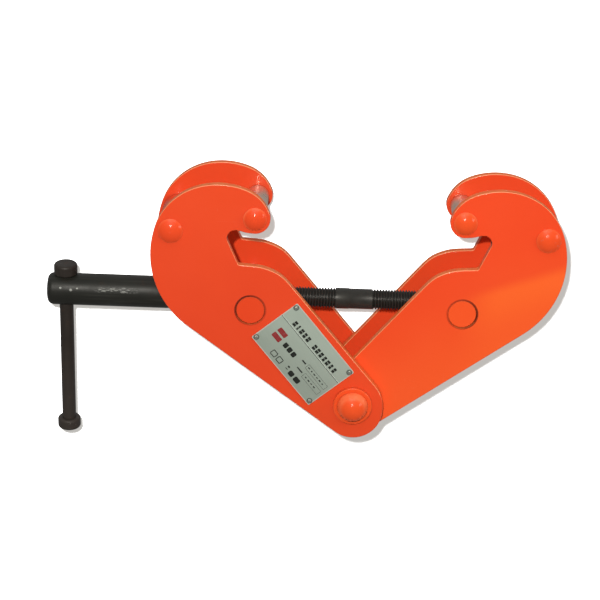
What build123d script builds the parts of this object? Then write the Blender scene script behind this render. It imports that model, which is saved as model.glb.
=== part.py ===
from build123d import *
import os
from math import cos, hypot, radians, sin, tan

# Screw beam clamp for suspending a hoist from the lower flange of an I-beam.
# Frame: origin on the load bar's axis, half way between the cheek plates.
# +X along the spindle (from the drive end to the free end), +Y along the pins
# (front to rear), +Z up, jaws on top.  Millimetres.  Drawn at its widest opening.
# Plane.XZ faces -Y, so a positive offset or extrusion from it goes to the front.

os.makedirs("parts", exist_ok=True)

# ---------------------------------------------------------------- shared sizes
plate_t = 8.0                 # thickness of every cheek plate
left_in = 32.0                # left jaw: inner face of each cheek, from the middle
right_in = 23.5               # right jaw: the same, nested inside the left one
left_out = left_in + plate_t
right_out = right_in + plate_t
jaws = (("left", -1, left_in), ("right", 1, right_in))    # name, side in X, inner face

# pin places of the right jaw, from the load bar's axis (the left jaw mirrors them)
nut_x, nut_z = 90.9, 84.2     # trunnion nut; the spindle's axis is at its height
tip_x, tip_z = 88.9, 165.7    # tip rivet
back_x, back_z = 160.1, 153.0 # back rivet, at the end far from the load bar

running = 0.05                # radial clearance of the pins in the cheeks
hairline = 0.02               # gap between faces that meet
bar_end_r = 10.0              # load bar through the cheeks
trunnion_r = 12.7
rivet_r = 7.0

# rating plate, on the front of the left front cheek
label_len, label_wid, label_t = 80.0, 50.0, 0.8
label_angle = -50.3           # slope of its long side, degrees
label_place = Location((-44.6, 45.6, 0), (0, 0, label_angle))
label_grid = (74.6, 43.4, 2, 2)    # its rivets: spacing along and across, then counts
label_rivet_r = 1.25
label_hole_depth = 6.0


def save(builder, name):
    """Label the finished piece and write its STEP file."""
    builder.part.label = name
    export_step(builder.part, f"parts/{name}.step")


def rim_edges(builder, radius):
    """Circular edges of at least the given radius."""
    circles = builder.edges().filter_by(GeomType.CIRCLE)
    return circles.filter_by(lambda edge: edge.radius > radius - 0.1)


# ---------------------------------------------------------------- jaw outline
# One outline serves all four cheeks: a rounded foot round the load bar, a
# straight arm, a seat, a hooked mouth for the beam's flange, a nose round the
# tip rivet and a full round back.  Drawn for the right jaw; angles in degrees.
foot_r = 25.3                 # rounded foot of a cheek, under the load bar
foot_x = -0.65                # sideways place of the foot's centre
side_from = 205.0             # where the foot eases into its wider side
lower_offset = 29.425         # distance of the lower edge from the load bar's axis
lower_angle = 35.764          # slope of the lower edge
arm_angle = 49.64             # slope of the arm's upper edge
arm_offset = 26.1             # distance of that edge from the load bar's axis
arm_top_x = 56.6              # where that edge runs into the seat
back_start_x = 144.008        # where the lower edge runs into the round back
back_arcs = [(79.521, 71.464), (55.253, 60.106), (62.481, 33.995)]   # radius, sweep
brow_r = 34.231               # brow, the last arc before the nose
brow_mid_turn = 25.0          # middle point of the brow, past the end of the back
nose_r = 13.0                 # nose round the tip rivet
nose_from, nose_mid, nose_to = 160.0, 215.0, 274.0
nose_flank = (97.0, 153.5)    # point between the nose and the pocket
pocket_r = 7.0                # round pocket of the mouth
pocket_from, pocket_mid = 96.8, 40.0
wall_top = (111.6, 145.4)     # top of the mouth's sloping wall
wall_angle = 65.7
corner_r = 2.5                # eased corner between the wall and the seat
seat_z = 124.5                # seat under the beam's flange
seat_angle = 3.0
seat_points = [(90.5, 123.9), (82.3, 122.9), (74.4, 120.5), (66.2, 116.3)]   # x, z


def direction(angle):
    """Unit vector at an angle in degrees."""
    return (cos(radians(angle)), sin(radians(angle)))


def polar(origin, distance, angle):
    """The point at a distance and an angle in degrees from the origin point."""
    dx, dz = direction(angle)
    return (origin[0] + distance * dx, origin[1] + distance * dz)


# foot: a circle tangent to the lower edge, easing into a wider arc tangent to the arm
lower_cos = cos(radians(lower_angle))
arm_cos, arm_sin = direction(arm_angle)
foot_centre = (foot_x, foot_x * tan(radians(lower_angle)) - (lower_offset - foot_r) / lower_cos)
side_lean = sin(radians(side_from - arm_angle))
side_r = (arm_offset + arm_sin * foot_centre[0] - arm_cos * foot_centre[1]
          - foot_r * side_lean) / (1.0 - side_lean)
side_centre = polar(foot_centre, foot_r - side_r, side_from)
side_join = polar(foot_centre, foot_r, side_from)
foot_tangent = polar(foot_centre, foot_r, lower_angle - 90.0)
arm_foot = polar(side_centre, side_r, arm_angle + 90.0)
arm_top = (arm_top_x, arm_top_x * tan(radians(arm_angle)) + arm_offset / arm_cos)
back_start = (back_start_x, back_start_x * tan(radians(lower_angle)) - lower_offset / lower_cos)

# nose round the tip rivet, and the brow that runs into it
tip = (tip_x, tip_z)
nose_start = polar(tip, nose_r, nose_from)
nose_end = polar(tip, nose_r, nose_to)
brow_centre = polar(nose_start, -brow_r, nose_from)
back_end_angle = lower_angle + sum(sweep for _, sweep in back_arcs) - 90.0

# mouth: pocket under the nose, sloping wall and seat corner, each tangent to the next
pocket_centre = polar(wall_top, pocket_r, wall_angle + 90.0)
pocket_start = polar(pocket_centre, pocket_r, pocket_from)
wall_drop = (wall_top[1] - seat_z
             - corner_r * (cos(radians(seat_angle)) - cos(radians(wall_angle))))
wall_low = polar(wall_top, -wall_drop / sin(radians(wall_angle)), wall_angle)
corner_centre = polar(wall_low, corner_r, wall_angle + 90.0)
corner_mid = polar(corner_centre, corner_r, (wall_angle + seat_angle) / 2 - 90.0)
seat_start = polar(corner_centre, corner_r, seat_angle - 90.0)

with BuildSketch(Plane.XZ) as jaw_profile:
    with BuildLine():
        Line(foot_tangent, back_start)
        at, heading = Vector(*back_start), lower_angle
        for arc_r, sweep in back_arcs:
            arc = JernArc(at, direction(heading), arc_r, sweep)
            at, heading = arc @ 1, heading + sweep
        ThreePointArc(at, polar(brow_centre, brow_r, back_end_angle + brow_mid_turn), nose_start)
        ThreePointArc(nose_start, polar(tip, nose_r, nose_mid), nose_end)
        Spline(nose_end, nose_flank, pocket_start,
               tangents=(direction(nose_to + 90.0), direction(pocket_from - 90.0)))
        ThreePointArc(pocket_start, polar(pocket_centre, pocket_r, pocket_mid), wall_top)
        Line(wall_top, wall_low)
        ThreePointArc(wall_low, corner_mid, seat_start)
        Spline(seat_start, *seat_points, arm_top,
               tangents=(direction(seat_angle + 180.0), direction(arm_angle + 180.0)))
        Line(arm_top, arm_foot)
        side_mid_angle = (side_from + 90.0 + arm_angle) / 2
        ThreePointArc(arm_foot, polar(side_centre, side_r, side_mid_angle), side_join)
        foot_mid_angle = (side_from + 270.0 + lower_angle) / 2
        ThreePointArc(side_join, polar(foot_centre, foot_r, foot_mid_angle), foot_tangent)
    make_face()


# ---------------------------------------------------------------- cheek plates
edge_r = 0.7                  # rounding of the cheek edges
cheek_holes = [               # x and z in the right jaw, radius
    (0.0, 0.0, bar_end_r + running),
    (nut_x, nut_z, trunnion_r + running),
    (tip_x, tip_z, rivet_r + running),
    (back_x, back_z, rivet_r + running),
]


def cheek_plate(name, side, rear_face, with_label=False):
    """One cheek; rear_face is the offset of its rearward face towards the front."""
    outline = jaw_profile.sketch_local
    with BuildPart() as cheek:
        with BuildSketch(Plane.XZ.offset(rear_face)):
            add(outline if side > 0 else mirror(outline, about=Plane.YZ, mode=Mode.PRIVATE))
        extrude(amount=plate_t)
        fillet(cheek.edges().group_by(Axis.Y)[0] + cheek.edges().group_by(Axis.Y)[-1],
               radius=edge_r)
        for x, z, radius in cheek_holes:
            with BuildSketch(Plane.XZ.offset(rear_face)):
                with Locations((side * x, z)):
                    Circle(radius)
            extrude(amount=plate_t, mode=Mode.SUBTRACT)
        if with_label:
            # four blind holes take the rivets of the rating plate
            with BuildSketch(Plane.XZ.offset(left_out - label_hole_depth)):
                with Locations(label_place):
                    with GridLocations(*label_grid):
                        Circle(label_rivet_r)
            extrude(amount=label_hole_depth, mode=Mode.SUBTRACT)
    save(cheek, name)


for jaw, side, inner in jaws:
    cheek_plate(f"{jaw}_front_plate", side, inner, with_label=jaw == "left")
    cheek_plate(f"{jaw}_rear_plate", side, -(inner + plate_t))


# ---------------------------------------------------------------- load bar and rivets
bar_mid_r = 12.5              # load bar between the cheeks: the hook hangs here
bar_mid_half = right_in - 0.25
bar_shoulder = 0.8            # chamfer at the ends of the thick middle
bar_head_r, bar_head_h = 13.3, 11.5
bar_rim = 0.8                 # short straight rim under the dome
washer_r, washer_t = 16.7, 3.2
washer_in = left_out + 0.25   # clear of the left cheek's outer face
washer_out = washer_in + washer_t
washer_chamfer = 0.5

tip_head_r, back_head_r = 10.0, 10.6
rivet_head_h = 4.8
rivet_rim = 0.5


def headed_pin(name, x, z, body, face, head_r, head_h, rim):
    """A pin along Y with a spherical dome on a straight rim at both ends.

    body lists (radius, y) from the middle to the head; face is what the head bears on.
    """
    base = face + rim
    dome_r = (head_r ** 2 + head_h ** 2) / (2 * head_h)
    mid_r = 0.6 * head_r
    dome_mid = (mid_r, base + head_h - dome_r + (dome_r ** 2 - mid_r ** 2) ** 0.5)
    dome_top = (0, base + head_h)
    with BuildPart() as pin:
        with BuildSketch(Plane(origin=(x, 0, z), x_dir=(1, 0, 0), z_dir=(0, 0, 1))):
            with BuildLine():
                Polyline((0, 0), *body, (head_r, face + hairline), (head_r, base))
                ThreePointArc((head_r, base), dome_mid, dome_top)
                Line(dome_top, (0, 0))
            make_face()
        revolve(axis=Axis((x, 0, z), (0, 1, 0)))
        mirror(about=Plane.XZ)
    save(pin, name)


# thick in the middle, necked through the four cheeks and the two washers
bar_body = [(bar_mid_r, 0), (bar_mid_r, bar_mid_half - bar_shoulder),
            (bar_mid_r - bar_shoulder, bar_mid_half), (bar_end_r, bar_mid_half),
            (bar_end_r, washer_out + hairline)]
headed_pin("load_bar", 0, 0, bar_body, washer_out, bar_head_r, bar_head_h, bar_rim)

with BuildPart() as load_bar_washers:
    for start in (washer_in, -washer_out):
        with BuildSketch(Plane.XZ.offset(start)):
            Circle(washer_r)
            Circle(bar_end_r + running, mode=Mode.SUBTRACT)
        extrude(amount=washer_t)
    chamfer(rim_edges(load_bar_washers, washer_r), length=washer_chamfer)
save(load_bar_washers, "load_bar_washers")

for jaw, side, inner in jaws:
    outer = inner + plate_t
    rivet_body = [(rivet_r, 0), (rivet_r, outer + hairline)]
    headed_pin(f"{jaw}_tip_rivet", side * tip_x, tip_z, rivet_body, outer,
               tip_head_r, rivet_head_h, rivet_rim)
    headed_pin(f"{jaw}_back_rivet", side * back_x, back_z, rivet_body, outer,
               back_head_r, rivet_head_h, rivet_rim)


# ---------------------------------------------------------------- sleeves and spacers
# The tip sleeves are the rollers that bear on the flange's top; the back
# spacers are plain tubes that hold the cheeks apart.
tip_sleeve_r = 9.5
back_spacer_r = 11.0
tube_bore_r = rivet_r + 0.1
tube_chamfer = 0.6


def tube(name, x, z, radius, inner):
    """A tube along Y that fills the space between the cheeks of one jaw."""
    half = inner - hairline
    with BuildPart() as sleeve:
        with BuildSketch(Plane.XZ.offset(-half)):
            with Locations((x, z)):
                Circle(radius)
                Circle(tube_bore_r, mode=Mode.SUBTRACT)
        extrude(amount=2 * half)
        chamfer(sleeve.edges().filter_by(GeomType.CIRCLE), length=tube_chamfer)
    save(sleeve, name)


for jaw, side, inner in jaws:
    tube(f"{jaw}_tip_sleeve", side * tip_x, tip_z, tip_sleeve_r, inner)
    tube(f"{jaw}_back_spacer", side * back_x, back_z, back_spacer_r, inner)


# ---------------------------------------------------------------- trunnion nuts
# Round bars across each jaw, turned down at both ends to swivel in the cheeks,
# with a plain bore for the spindle through the middle.
nut_r = 16.0                  # the nut's body
nut_gap = 0.3                 # between the body and each cheek
nut_chamfer = 0.8
nut_bore_r = 9.1              # clear of the thread's crest
bore_overrun = 2.0
trunnion_recess = 0.5         # trunnion's end below the cheek's outer face
trunnion_chamfer = 1.1


def trunnion_nut(name, x, inner):
    trunnion_half = inner + plate_t - trunnion_recess
    body_half = inner - nut_gap
    with BuildPart() as nut:
        with BuildSketch(Plane.XZ.offset(-trunnion_half)):
            with Locations((x, nut_z)):
                Circle(trunnion_r)
        extrude(amount=2 * trunnion_half)
        chamfer(nut.edges().filter_by(GeomType.CIRCLE), length=trunnion_chamfer)
        with BuildSketch(Plane.XZ.offset(-body_half)):
            with Locations((x, nut_z)):
                Circle(nut_r)
        extrude(amount=2 * body_half)
        chamfer(rim_edges(nut, nut_r), length=nut_chamfer)
        with BuildSketch(Plane.YZ.offset(x - nut_r - bore_overrun)):
            with Locations((0, nut_z)):
                Circle(nut_bore_r)
        extrude(amount=2 * (nut_r + bore_overrun), mode=Mode.SUBTRACT)
    save(nut, name)


for jaw, side, inner in jaws:
    trunnion_nut(f"{jaw}_nut", side * nut_x, inner)


# ---------------------------------------------------------------- spindle
# Two threaded lengths either side of a plain middle.  Each thread is drawn as
# a row of separate rings at its pitch.
thread_r = 9.0                # M18 x 2.5
thread_root_r = 7.6
pitch = 2.5
crest_from, crest_to, flank_end = 0.85, 1.2, 2.05    # along one ring, from its start
thread_left = -105.0
plain_left, plain_right = -17.5, 14.5     # plain middle of the spindle
spindle_end = 118.0
end_neck_r = thread_root_r - 0.1          # plain free end, through the stop washer
end_chamfer = 1.0

shank_r = 14.05               # drive shank
shank_left, shank_right = -269.3, -108.2
shank_round = 5.0             # rounding of the drive end
shank_chamfer = 1.0
drill_point = 4.6             # cone at the bottom of the shank's bore
spigot_r = 8.0                # plain end of the spindle inside the shank
spigot_chamfer = 0.8
bore_end = shank_right - 46.0
spigot_end = bore_end + 0.3

stop_washer_r, stop_washer_t = 15.0, 3.0
stop_washer_x = 108.6         # its inner face
stop_washer_chamfer = 0.4
thread_right = stop_washer_x - 1.5
stop_pin_r = 2.5
stop_pin_wall = 0.9
stop_pin_slot = 0.7
stop_pin_half = 12.0          # half its length
stop_pin_x = stop_washer_x + stop_washer_t + 0.3 + stop_pin_r
spindle_axis = Axis((0, 0, nut_z), (1, 0, 0))
stop_pin_base = Plane.XY.offset(nut_z - stop_pin_half)


def thread_rings(start, end):
    """Profile of a thread as (x, radius), its whole rings centred in the length."""
    count = int((end - start) / pitch)
    x = start + ((end - start) - count * pitch) / 2
    points = [(start, thread_root_r), (x, thread_root_r)]
    for _ in range(count):
        points += [(x + crest_from, thread_r), (x + crest_to, thread_r),
                   (x + flank_end, thread_root_r), (x + pitch, thread_root_r)]
        x += pitch
    return points + [(end, thread_root_r)]


spindle_points = [
    (spigot_end, 0), (spigot_end, spigot_r - spigot_chamfer),
    (spigot_end + spigot_chamfer, spigot_r), (thread_left, spigot_r),
    *thread_rings(thread_left, plain_left),
    (plain_left, thread_r), (plain_right, thread_r),
    *thread_rings(plain_right, thread_right),
    (thread_right, end_neck_r), (spindle_end - end_chamfer, end_neck_r),
    (spindle_end, end_neck_r - end_chamfer), (spindle_end, 0),
]
# a thread that fills its length repeats its end points: keep each once
spindle_profile = [spindle_points[0]]
for x, radius in spindle_points[1:]:
    if hypot(x - spindle_profile[-1][0], radius - spindle_profile[-1][1]) > 1e-6:
        spindle_profile.append((x, radius))

with BuildPart() as spindle:
    with BuildSketch(Plane.XZ):
        with BuildLine():
            Polyline(*[(x, nut_z + radius) for x, radius in spindle_profile], close=True)
        make_face()
    revolve(axis=spindle_axis)
    # cross hole for the stop pin
    with BuildSketch(stop_pin_base):
        with Locations((stop_pin_x, 0)):
            Circle(stop_pin_r)
    extrude(amount=2 * stop_pin_half, mode=Mode.SUBTRACT)
save(spindle, "spindle")

with BuildPart() as spindle_stop_washer:
    with BuildSketch(Plane.YZ.offset(stop_washer_x)):
        with Locations((0, nut_z)):
            Circle(stop_washer_r)
            Circle(thread_root_r, mode=Mode.SUBTRACT)
    extrude(amount=stop_washer_t)
    chamfer(rim_edges(spindle_stop_washer, stop_washer_r), length=stop_washer_chamfer)
save(spindle_stop_washer, "spindle_stop_washer")

# rolled spring pin, slotted along its length
with BuildPart() as spindle_stop_pin:
    with BuildSketch(stop_pin_base):
        with Locations((stop_pin_x, 0)):
            Circle(stop_pin_r)
            Circle(stop_pin_r - stop_pin_wall, mode=Mode.SUBTRACT)
    extrude(amount=2 * stop_pin_half)
    with BuildSketch(stop_pin_base):
        with Locations((stop_pin_x + stop_pin_r, 0)):
            Rectangle(2 * stop_pin_r, stop_pin_slot)
    extrude(amount=2 * stop_pin_half, mode=Mode.SUBTRACT)
save(spindle_stop_pin, "spindle_stop_pin")


# ---------------------------------------------------------------- shank and tommy bar
tommy_x = -253.6
tommy_r = 6.1
tommy_tilt = 6.0              # the bar leans: its upper end comes forward, degrees
tommy_low = -137.6            # its lower end; heights run along it from the spindle's axis
knob_r, knob_h = 10.2, 10.2
knob_cap = 1.0                # solid end of a knob, beyond the bar
knob_low = shank_r + 0.25     # underside of the upper knob, resting on the shank
cross_hole_half = 20.0

# plane across the tommy bar, where it crosses the spindle's axis
tommy_plane = Plane(origin=(tommy_x, 0, nut_z), x_dir=(1, 0, 0),
                    z_dir=(0, -sin(radians(tommy_tilt)), cos(radians(tommy_tilt))))

shank_top = nut_z + shank_r
shank_bore_top = nut_z + spigot_r + hairline
round_inset = shank_round * (1 - cos(radians(45)))    # middle of the drive end's rounding
with BuildPart() as spindle_shank:
    with BuildSketch(Plane.XZ):
        with BuildLine():
            Polyline((shank_left, nut_z), (shank_left, shank_top - shank_round))
            ThreePointArc((shank_left, shank_top - shank_round),
                          (shank_left + round_inset, shank_top - round_inset),
                          (shank_left + shank_round, shank_top))
            Polyline((shank_left + shank_round, shank_top),
                     (shank_right - shank_chamfer, shank_top),
                     (shank_right, shank_top - shank_chamfer),
                     (shank_right, shank_bore_top), (bore_end, shank_bore_top),
                     (bore_end - drill_point, nut_z), (shank_left, nut_z))
        make_face()
    revolve(axis=spindle_axis)
    # cross hole for the tommy bar
    with BuildSketch(tommy_plane.offset(-cross_hole_half)):
        Circle(tommy_r + 0.1)
    extrude(amount=2 * cross_hole_half, mode=Mode.SUBTRACT)
save(spindle_shank, "spindle_shank")

with BuildPart() as tommy_bar:
    with BuildSketch(tommy_plane.offset(tommy_low + knob_cap)):
        Circle(tommy_r)
    extrude(amount=knob_low + knob_h - tommy_low - 2 * knob_cap)
save(tommy_bar, "tommy_bar")


def knob(name, base, bore_base, roundings):
    """A knob; roundings lists (edge by height: 0 lowest, -1 highest; radius) in order."""
    with BuildPart() as body:
        with BuildSketch(tommy_plane.offset(base)):
            Circle(knob_r)
        extrude(amount=knob_h)
        for end, radius in roundings:
            fillet(body.edges().filter_by(GeomType.CIRCLE).sort_by(Axis.Z)[end], radius=radius)
        with BuildSketch(tommy_plane.offset(bore_base)):
            Circle(tommy_r)
        extrude(amount=knob_h - knob_cap, mode=Mode.SUBTRACT)
    save(body, name)


knob("upper_knob", knob_low, knob_low, roundings=((-1, 2.4), (0, 1.8)))
knob("lower_knob", tommy_low, tommy_low + knob_cap, roundings=((0, 2.6), (-1, 2.2)))


# ---------------------------------------------------------------- rating plate
label_corner_r = 1.2
label_shank_depth = 5.8       # rivet shank inside the cheek
label_shank_rise = 0.5        # rivet shank above the plate, inside the head
label_head_r, label_head_h = 1.8, 1.1
label_head_round = 0.9

with BuildPart() as rating_plate:
    with BuildSketch(Plane.XZ.offset(left_out)):
        with Locations(label_place):
            RectangleRounded(label_len, label_wid, label_corner_r)
            with GridLocations(*label_grid):
                Circle(label_rivet_r + 0.05, mode=Mode.SUBTRACT)
    extrude(amount=label_t)
save(rating_plate, "rating_plate")

with BuildPart() as rating_plate_rivets:
    with BuildSketch(Plane.XZ.offset(left_out - label_shank_depth)):
        with Locations(label_place):
            with GridLocations(*label_grid):
                Circle(label_rivet_r - 0.01)
    extrude(amount=label_shank_depth + label_t + label_shank_rise)
    with BuildSketch(Plane.XZ.offset(left_out + label_t + 0.01)):
        with Locations(label_place):
            with GridLocations(*label_grid):
                Circle(label_head_r)
    extrude(amount=label_head_h)
    fillet(rating_plate_rivets.edges().filter_by(GeomType.CIRCLE).group_by(Axis.Y)[0],
           radius=label_head_round)
save(rating_plate_rivets, "rating_plate_rivets")
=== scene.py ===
"""A screw clamp: two orange jaws of paired plates on a blackened spindle.

The spindle lies along X at height AXIS_Z, the tommy bar along Z. The left jaw is on the -X side,
the right jaw on the +X side. The front, with the rating plate, faces -Y towards the camera.
Lengths are in metres, except in the spindle and plate marking sections, which work in mm.
"""
import math
from functools import cached_property

import bmesh
import bpy
from mathutils import Matrix, Vector


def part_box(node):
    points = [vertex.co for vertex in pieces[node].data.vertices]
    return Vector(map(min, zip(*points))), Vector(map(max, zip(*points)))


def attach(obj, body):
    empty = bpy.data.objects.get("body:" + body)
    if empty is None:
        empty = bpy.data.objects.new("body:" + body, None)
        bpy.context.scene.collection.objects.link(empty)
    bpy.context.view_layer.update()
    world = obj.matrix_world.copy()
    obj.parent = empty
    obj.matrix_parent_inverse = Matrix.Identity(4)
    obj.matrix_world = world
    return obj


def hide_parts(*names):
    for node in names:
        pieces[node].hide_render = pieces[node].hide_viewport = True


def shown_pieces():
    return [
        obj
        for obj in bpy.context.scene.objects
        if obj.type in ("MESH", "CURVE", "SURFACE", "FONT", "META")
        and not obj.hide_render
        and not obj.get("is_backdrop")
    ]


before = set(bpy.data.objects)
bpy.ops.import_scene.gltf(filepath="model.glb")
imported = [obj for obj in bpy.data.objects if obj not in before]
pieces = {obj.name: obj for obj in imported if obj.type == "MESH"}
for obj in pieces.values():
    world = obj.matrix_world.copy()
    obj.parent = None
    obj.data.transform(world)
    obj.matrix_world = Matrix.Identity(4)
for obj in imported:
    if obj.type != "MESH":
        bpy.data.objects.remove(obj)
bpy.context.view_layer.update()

scene = bpy.context.scene
MM = 0.001

AXIS_Z = 0.0842             # height of the spindle's axis
SHANK_RADIUS = 0.01405      # turns an angle round the bar into a length
NUT_X = 0.0909              # distance of each trunnion nut from the middle
NUT_RADIUS = 0.0129
WALL_Y, FLOOR_Z = 0.0572, -0.0860
STAGE_REACH = 3.0           # how far the wall and floor spread

PLATE_CENTRE = Vector((-0.0446, 0.0, 0.0456))    # the rating plate
PLATE_LONG = Vector((0.6388, 0.0, -0.7694))      # u, along its long side
PLATE_SHORT = Vector((0.7694, 0.0, 0.6388))      # v, across it


# -------------------------------------------------------------- node helpers
def blank_tree(owner):
    """The emptied node tree of a material or world."""
    owner.use_nodes = True
    owner.node_tree.nodes.clear()
    return owner.node_tree


def feed(tree, socket, value):
    """Link a socket, or set its value; a colour gains its alpha."""
    if isinstance(value, bpy.types.NodeSocket):
        tree.links.new(value, socket)
    elif isinstance(value, tuple) and len(value) == 3 and len(socket.default_value) == 4:
        socket.default_value = value + (1.0,)
    else:
        socket.default_value = value


def new_node(tree, kind, inputs=(), **settings):
    """A node with its inputs given in order, or by index or name in a dict."""
    node = tree.nodes.new(kind)
    for name, value in settings.items():
        setattr(node, name, value)
    pairs = inputs.items() if isinstance(inputs, dict) else enumerate(inputs)
    for key, value in pairs:
        feed(tree, node.inputs[key], value)
    return node


class Surface:
    """A principled material and short calls for the nodes that feed it."""

    def __init__(self, name):
        self.material = bpy.data.materials.new(name)
        self.tree = blank_tree(self.material)
        self.shader = self.add_node("ShaderNodeBsdfPrincipled")
        self.add_node("ShaderNodeOutputMaterial", [self.shader.outputs[0]])
        self.point = self.add_node("ShaderNodeTexCoord").outputs["Object"]

    def add_node(self, kind, inputs=(), **settings):
        return new_node(self.tree, kind, inputs, **settings)

    def set(self, **inputs):
        for name, value in inputs.items():
            feed(self.tree, self.shader.inputs[name.replace("_", " ")], value)

    # position and direction
    def split(self, vector):
        return self.add_node("ShaderNodeSeparateXYZ", [vector]).outputs

    @cached_property
    def point_parts(self):
        return self.split(self.point)

    @property
    def x(self):
        return self.point_parts[0]

    @property
    def y(self):
        return self.point_parts[1]

    @property
    def z(self):
        return self.point_parts[2]

    @cached_property
    def facing(self):
        return self.add_node("ShaderNodeNewGeometry").outputs["Normal"]

    # arithmetic
    def math(self, operation, a, b=0.0):
        return self.add_node("ShaderNodeMath", [a, b, 0.0], operation=operation).outputs[0]

    def add(self, a, b):
        return self.math("ADD", a, b)

    def sub(self, a, b):
        return self.math("SUBTRACT", a, b)

    def mul(self, a, b):
        return self.math("MULTIPLY", a, b)

    def larger(self, a, b):
        return self.math("MAXIMUM", a, b)

    def abs(self, a):
        return self.math("ABSOLUTE", a)

    def length(self, a, b):
        return self.math("SQRT", self.add(self.mul(a, a), self.mul(b, b)))

    def vector_math(self, operation, *inputs):
        return self.add_node("ShaderNodeVectorMath", inputs, operation=operation).outputs[0]

    # ranges: "over" is the span of the value, "to" the results at its two ends
    def linear(self, value, over, to):
        return self.add_node("ShaderNodeMapRange", [value, *over, *to]).outputs[0]

    def spread(self, value, to):
        """Linear over the usual span of a noise."""
        return self.linear(value, (0.3, 0.7), to)

    def rise(self, value, over, to=(0.0, 1.0)):
        return self.add_node("ShaderNodeMapRange", [value, *over, *to],
                             interpolation_type="SMOOTHSTEP").outputs[0]

    def fall(self, value, over, top=1.0):
        return self.rise(value, over, to=(top, 0.0))

    def band(self, value, up, down):
        """1 between the two slopes, 0 outside them."""
        return self.mul(self.rise(value, up), self.fall(value, down))

    # textures
    def noise(self, scale, detail=2.0, rough=0.5, distort=0.0, at=None):
        inputs = {"Vector": self.point if at is None else at, "Scale": scale,
                  "Detail": detail, "Roughness": rough, "Distortion": distort}
        return self.add_node("ShaderNodeTexNoise", inputs).outputs[0]

    def streaks(self, scales, **settings):
        """Noise with its own scale along X, Y and Z."""
        return self.noise(1.0, at=self.vector_math("MULTIPLY", self.point, scales), **settings)

    def plate_noise(self, u, v, scales, layer, **settings):
        """Noise in the directions of the rating plate; layer picks the slice."""
        at = self.add_node("ShaderNodeCombineXYZ",
                           [self.mul(u, scales[0]), self.mul(v, scales[1]), layer])
        return self.noise(1.0, at=at.outputs[0], **settings)

    def cells(self, scale):
        inputs = {"Vector": self.point, "Scale": scale}
        return self.add_node("ShaderNodeTexVoronoi", inputs).outputs["Distance"]

    def crevice(self, distance):
        """1 in the open, towards 0 in narrow gaps and along joints between pieces."""
        return self.add_node("ShaderNodeAmbientOcclusion", {"Distance": distance},
                             samples=4).outputs["AO"]

    # colour and relief
    def mix(self, share, a, b):
        return self.add_node("ShaderNodeMix", {0: share, 6: a, 7: b},
                             data_type="RGBA").outputs[2]

    def tint(self, colour, mask, share, tone):
        """Lay a tone over the colour where the mask is, at a share of its strength."""
        return self.mix(self.mul(mask, share), colour, tone)

    # painted shade: darkens narrow gaps and joints
    def paint_shade_in_gaps(self, colour, distance, over, share, tone):
        return self.mix(self.fall(self.crevice(distance), over, top=share), colour, tone)

    def bump(self, height, strength, depth, under=None):
        inputs = {"Strength": strength, "Distance": depth, "Height": height}
        if under is not None:
            inputs["Normal"] = under
        return self.add_node("ShaderNodeBump", inputs).outputs[0]


# ------------------------------------------------------------- orange enamel
BARE_STEEL = (0.34, 0.33, 0.31)


def paint_right_jaw_light(m, colour, broad):
    """Painted light on the right jaw: warmer and lighter towards its lower end, and in one band
    across it.
    """
    along = m.add(m.mul(m.x, 0.5), m.mul(m.z, -1.0))
    lower = m.rise(m.add(along, m.mul(broad, 0.03)), over=(-0.075, 0.060))
    colour = m.tint(colour, lower, share=0.85, tone=(0.960, 0.112, 0.0190))
    # the painted band of light slopes up with X and has a soft upper edge
    line = m.sub(m.z, m.mul(m.x, 0.35))
    across = m.mul(m.fall(line, over=(0.060, 0.073)),
                   m.rise(line, over=(0.020, 0.058), to=(0.35, 1.0)))
    outer = m.rise(m.x, over=(0.080, 0.125))
    return m.tint(colour, across, share=outer, tone=(0.975, 0.128, 0.0185))


def nut_joint_shadow(m, colour, centre_x, shadow_x, shadow_z):
    """Painted shade in the round joint at a trunnion nut, heaviest towards the given x, z direction
    as a painted shadow.
    """
    across, up = m.sub(m.x, centre_x), m.sub(m.z, AXIS_Z)
    from_joint = m.abs(m.sub(m.length(across, up), NUT_RADIUS))
    turn = m.math("DIVIDE", m.add(m.mul(across, shadow_x), m.mul(up, shadow_z)), NUT_RADIUS)
    ring = m.mul(m.fall(from_joint, over=(0.00045, 0.00130)),
                 m.linear(turn, over=(-1.0, 1.0), to=(0.30, 1.0)))
    return m.tint(colour, ring, share=0.90, tone=(0.085, 0.009, 0.004))


def cut_face_light_and_shade(m, colour, side):
    """Painted light and shade on the plates' cut faces and on the edges beside them."""
    # painted light: faces turned upwards are lighter, a patchy peach
    up = m.split(m.facing)[2]
    top_light_patches = m.spread(m.noise(140, detail=3, rough=0.6), to=(0.25, 0.70))
    top_lit = m.mul(m.mul(side, m.rise(up, over=(0.15, 0.70))), top_light_patches)
    colour = m.mix(top_lit, colour, (0.800, 0.300, 0.090))
    # painted shade along the upper back edges, painted highlight along the upper front edges
    back = m.split(m.facing)[1]
    back_edge_shade = m.mul(m.band(back, up=(0.10, 0.30), down=(0.85, 0.97)),
                      m.rise(up, over=(0.05, 0.30)))
    colour = m.tint(colour, back_edge_shade, share=0.80, tone=(0.110, 0.026, 0.008))
    front_edge = m.mul(m.fall(back, over=(-0.30, -0.12)), m.rise(back, over=(-0.93, -0.80)))
    front_edge_highlight = m.mul(front_edge, m.rise(up, over=(0.10, 0.45)))
    colour = m.tint(colour, front_edge_highlight, share=0.65, tone=(1.0, 0.480, 0.230))
    # painted shadow on the roof of the mouth's pocket, near black
    across = m.mul(m.rise(m.abs(m.x), over=(0.0990, 0.1030)),
                   m.fall(m.abs(m.x), over=(0.1210, 0.1230)))
    pocket_roof_shadow = m.mul(m.mul(side, m.rise(m.z, over=(0.1395, 0.1425))), across)
    pocket_roof_shadow = m.mul(pocket_roof_shadow, m.rise(up, over=(0.35, 0.05)))
    return m.tint(colour, pocket_roof_shadow, share=0.98, tone=(0.008, 0.003, 0.002))


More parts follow.
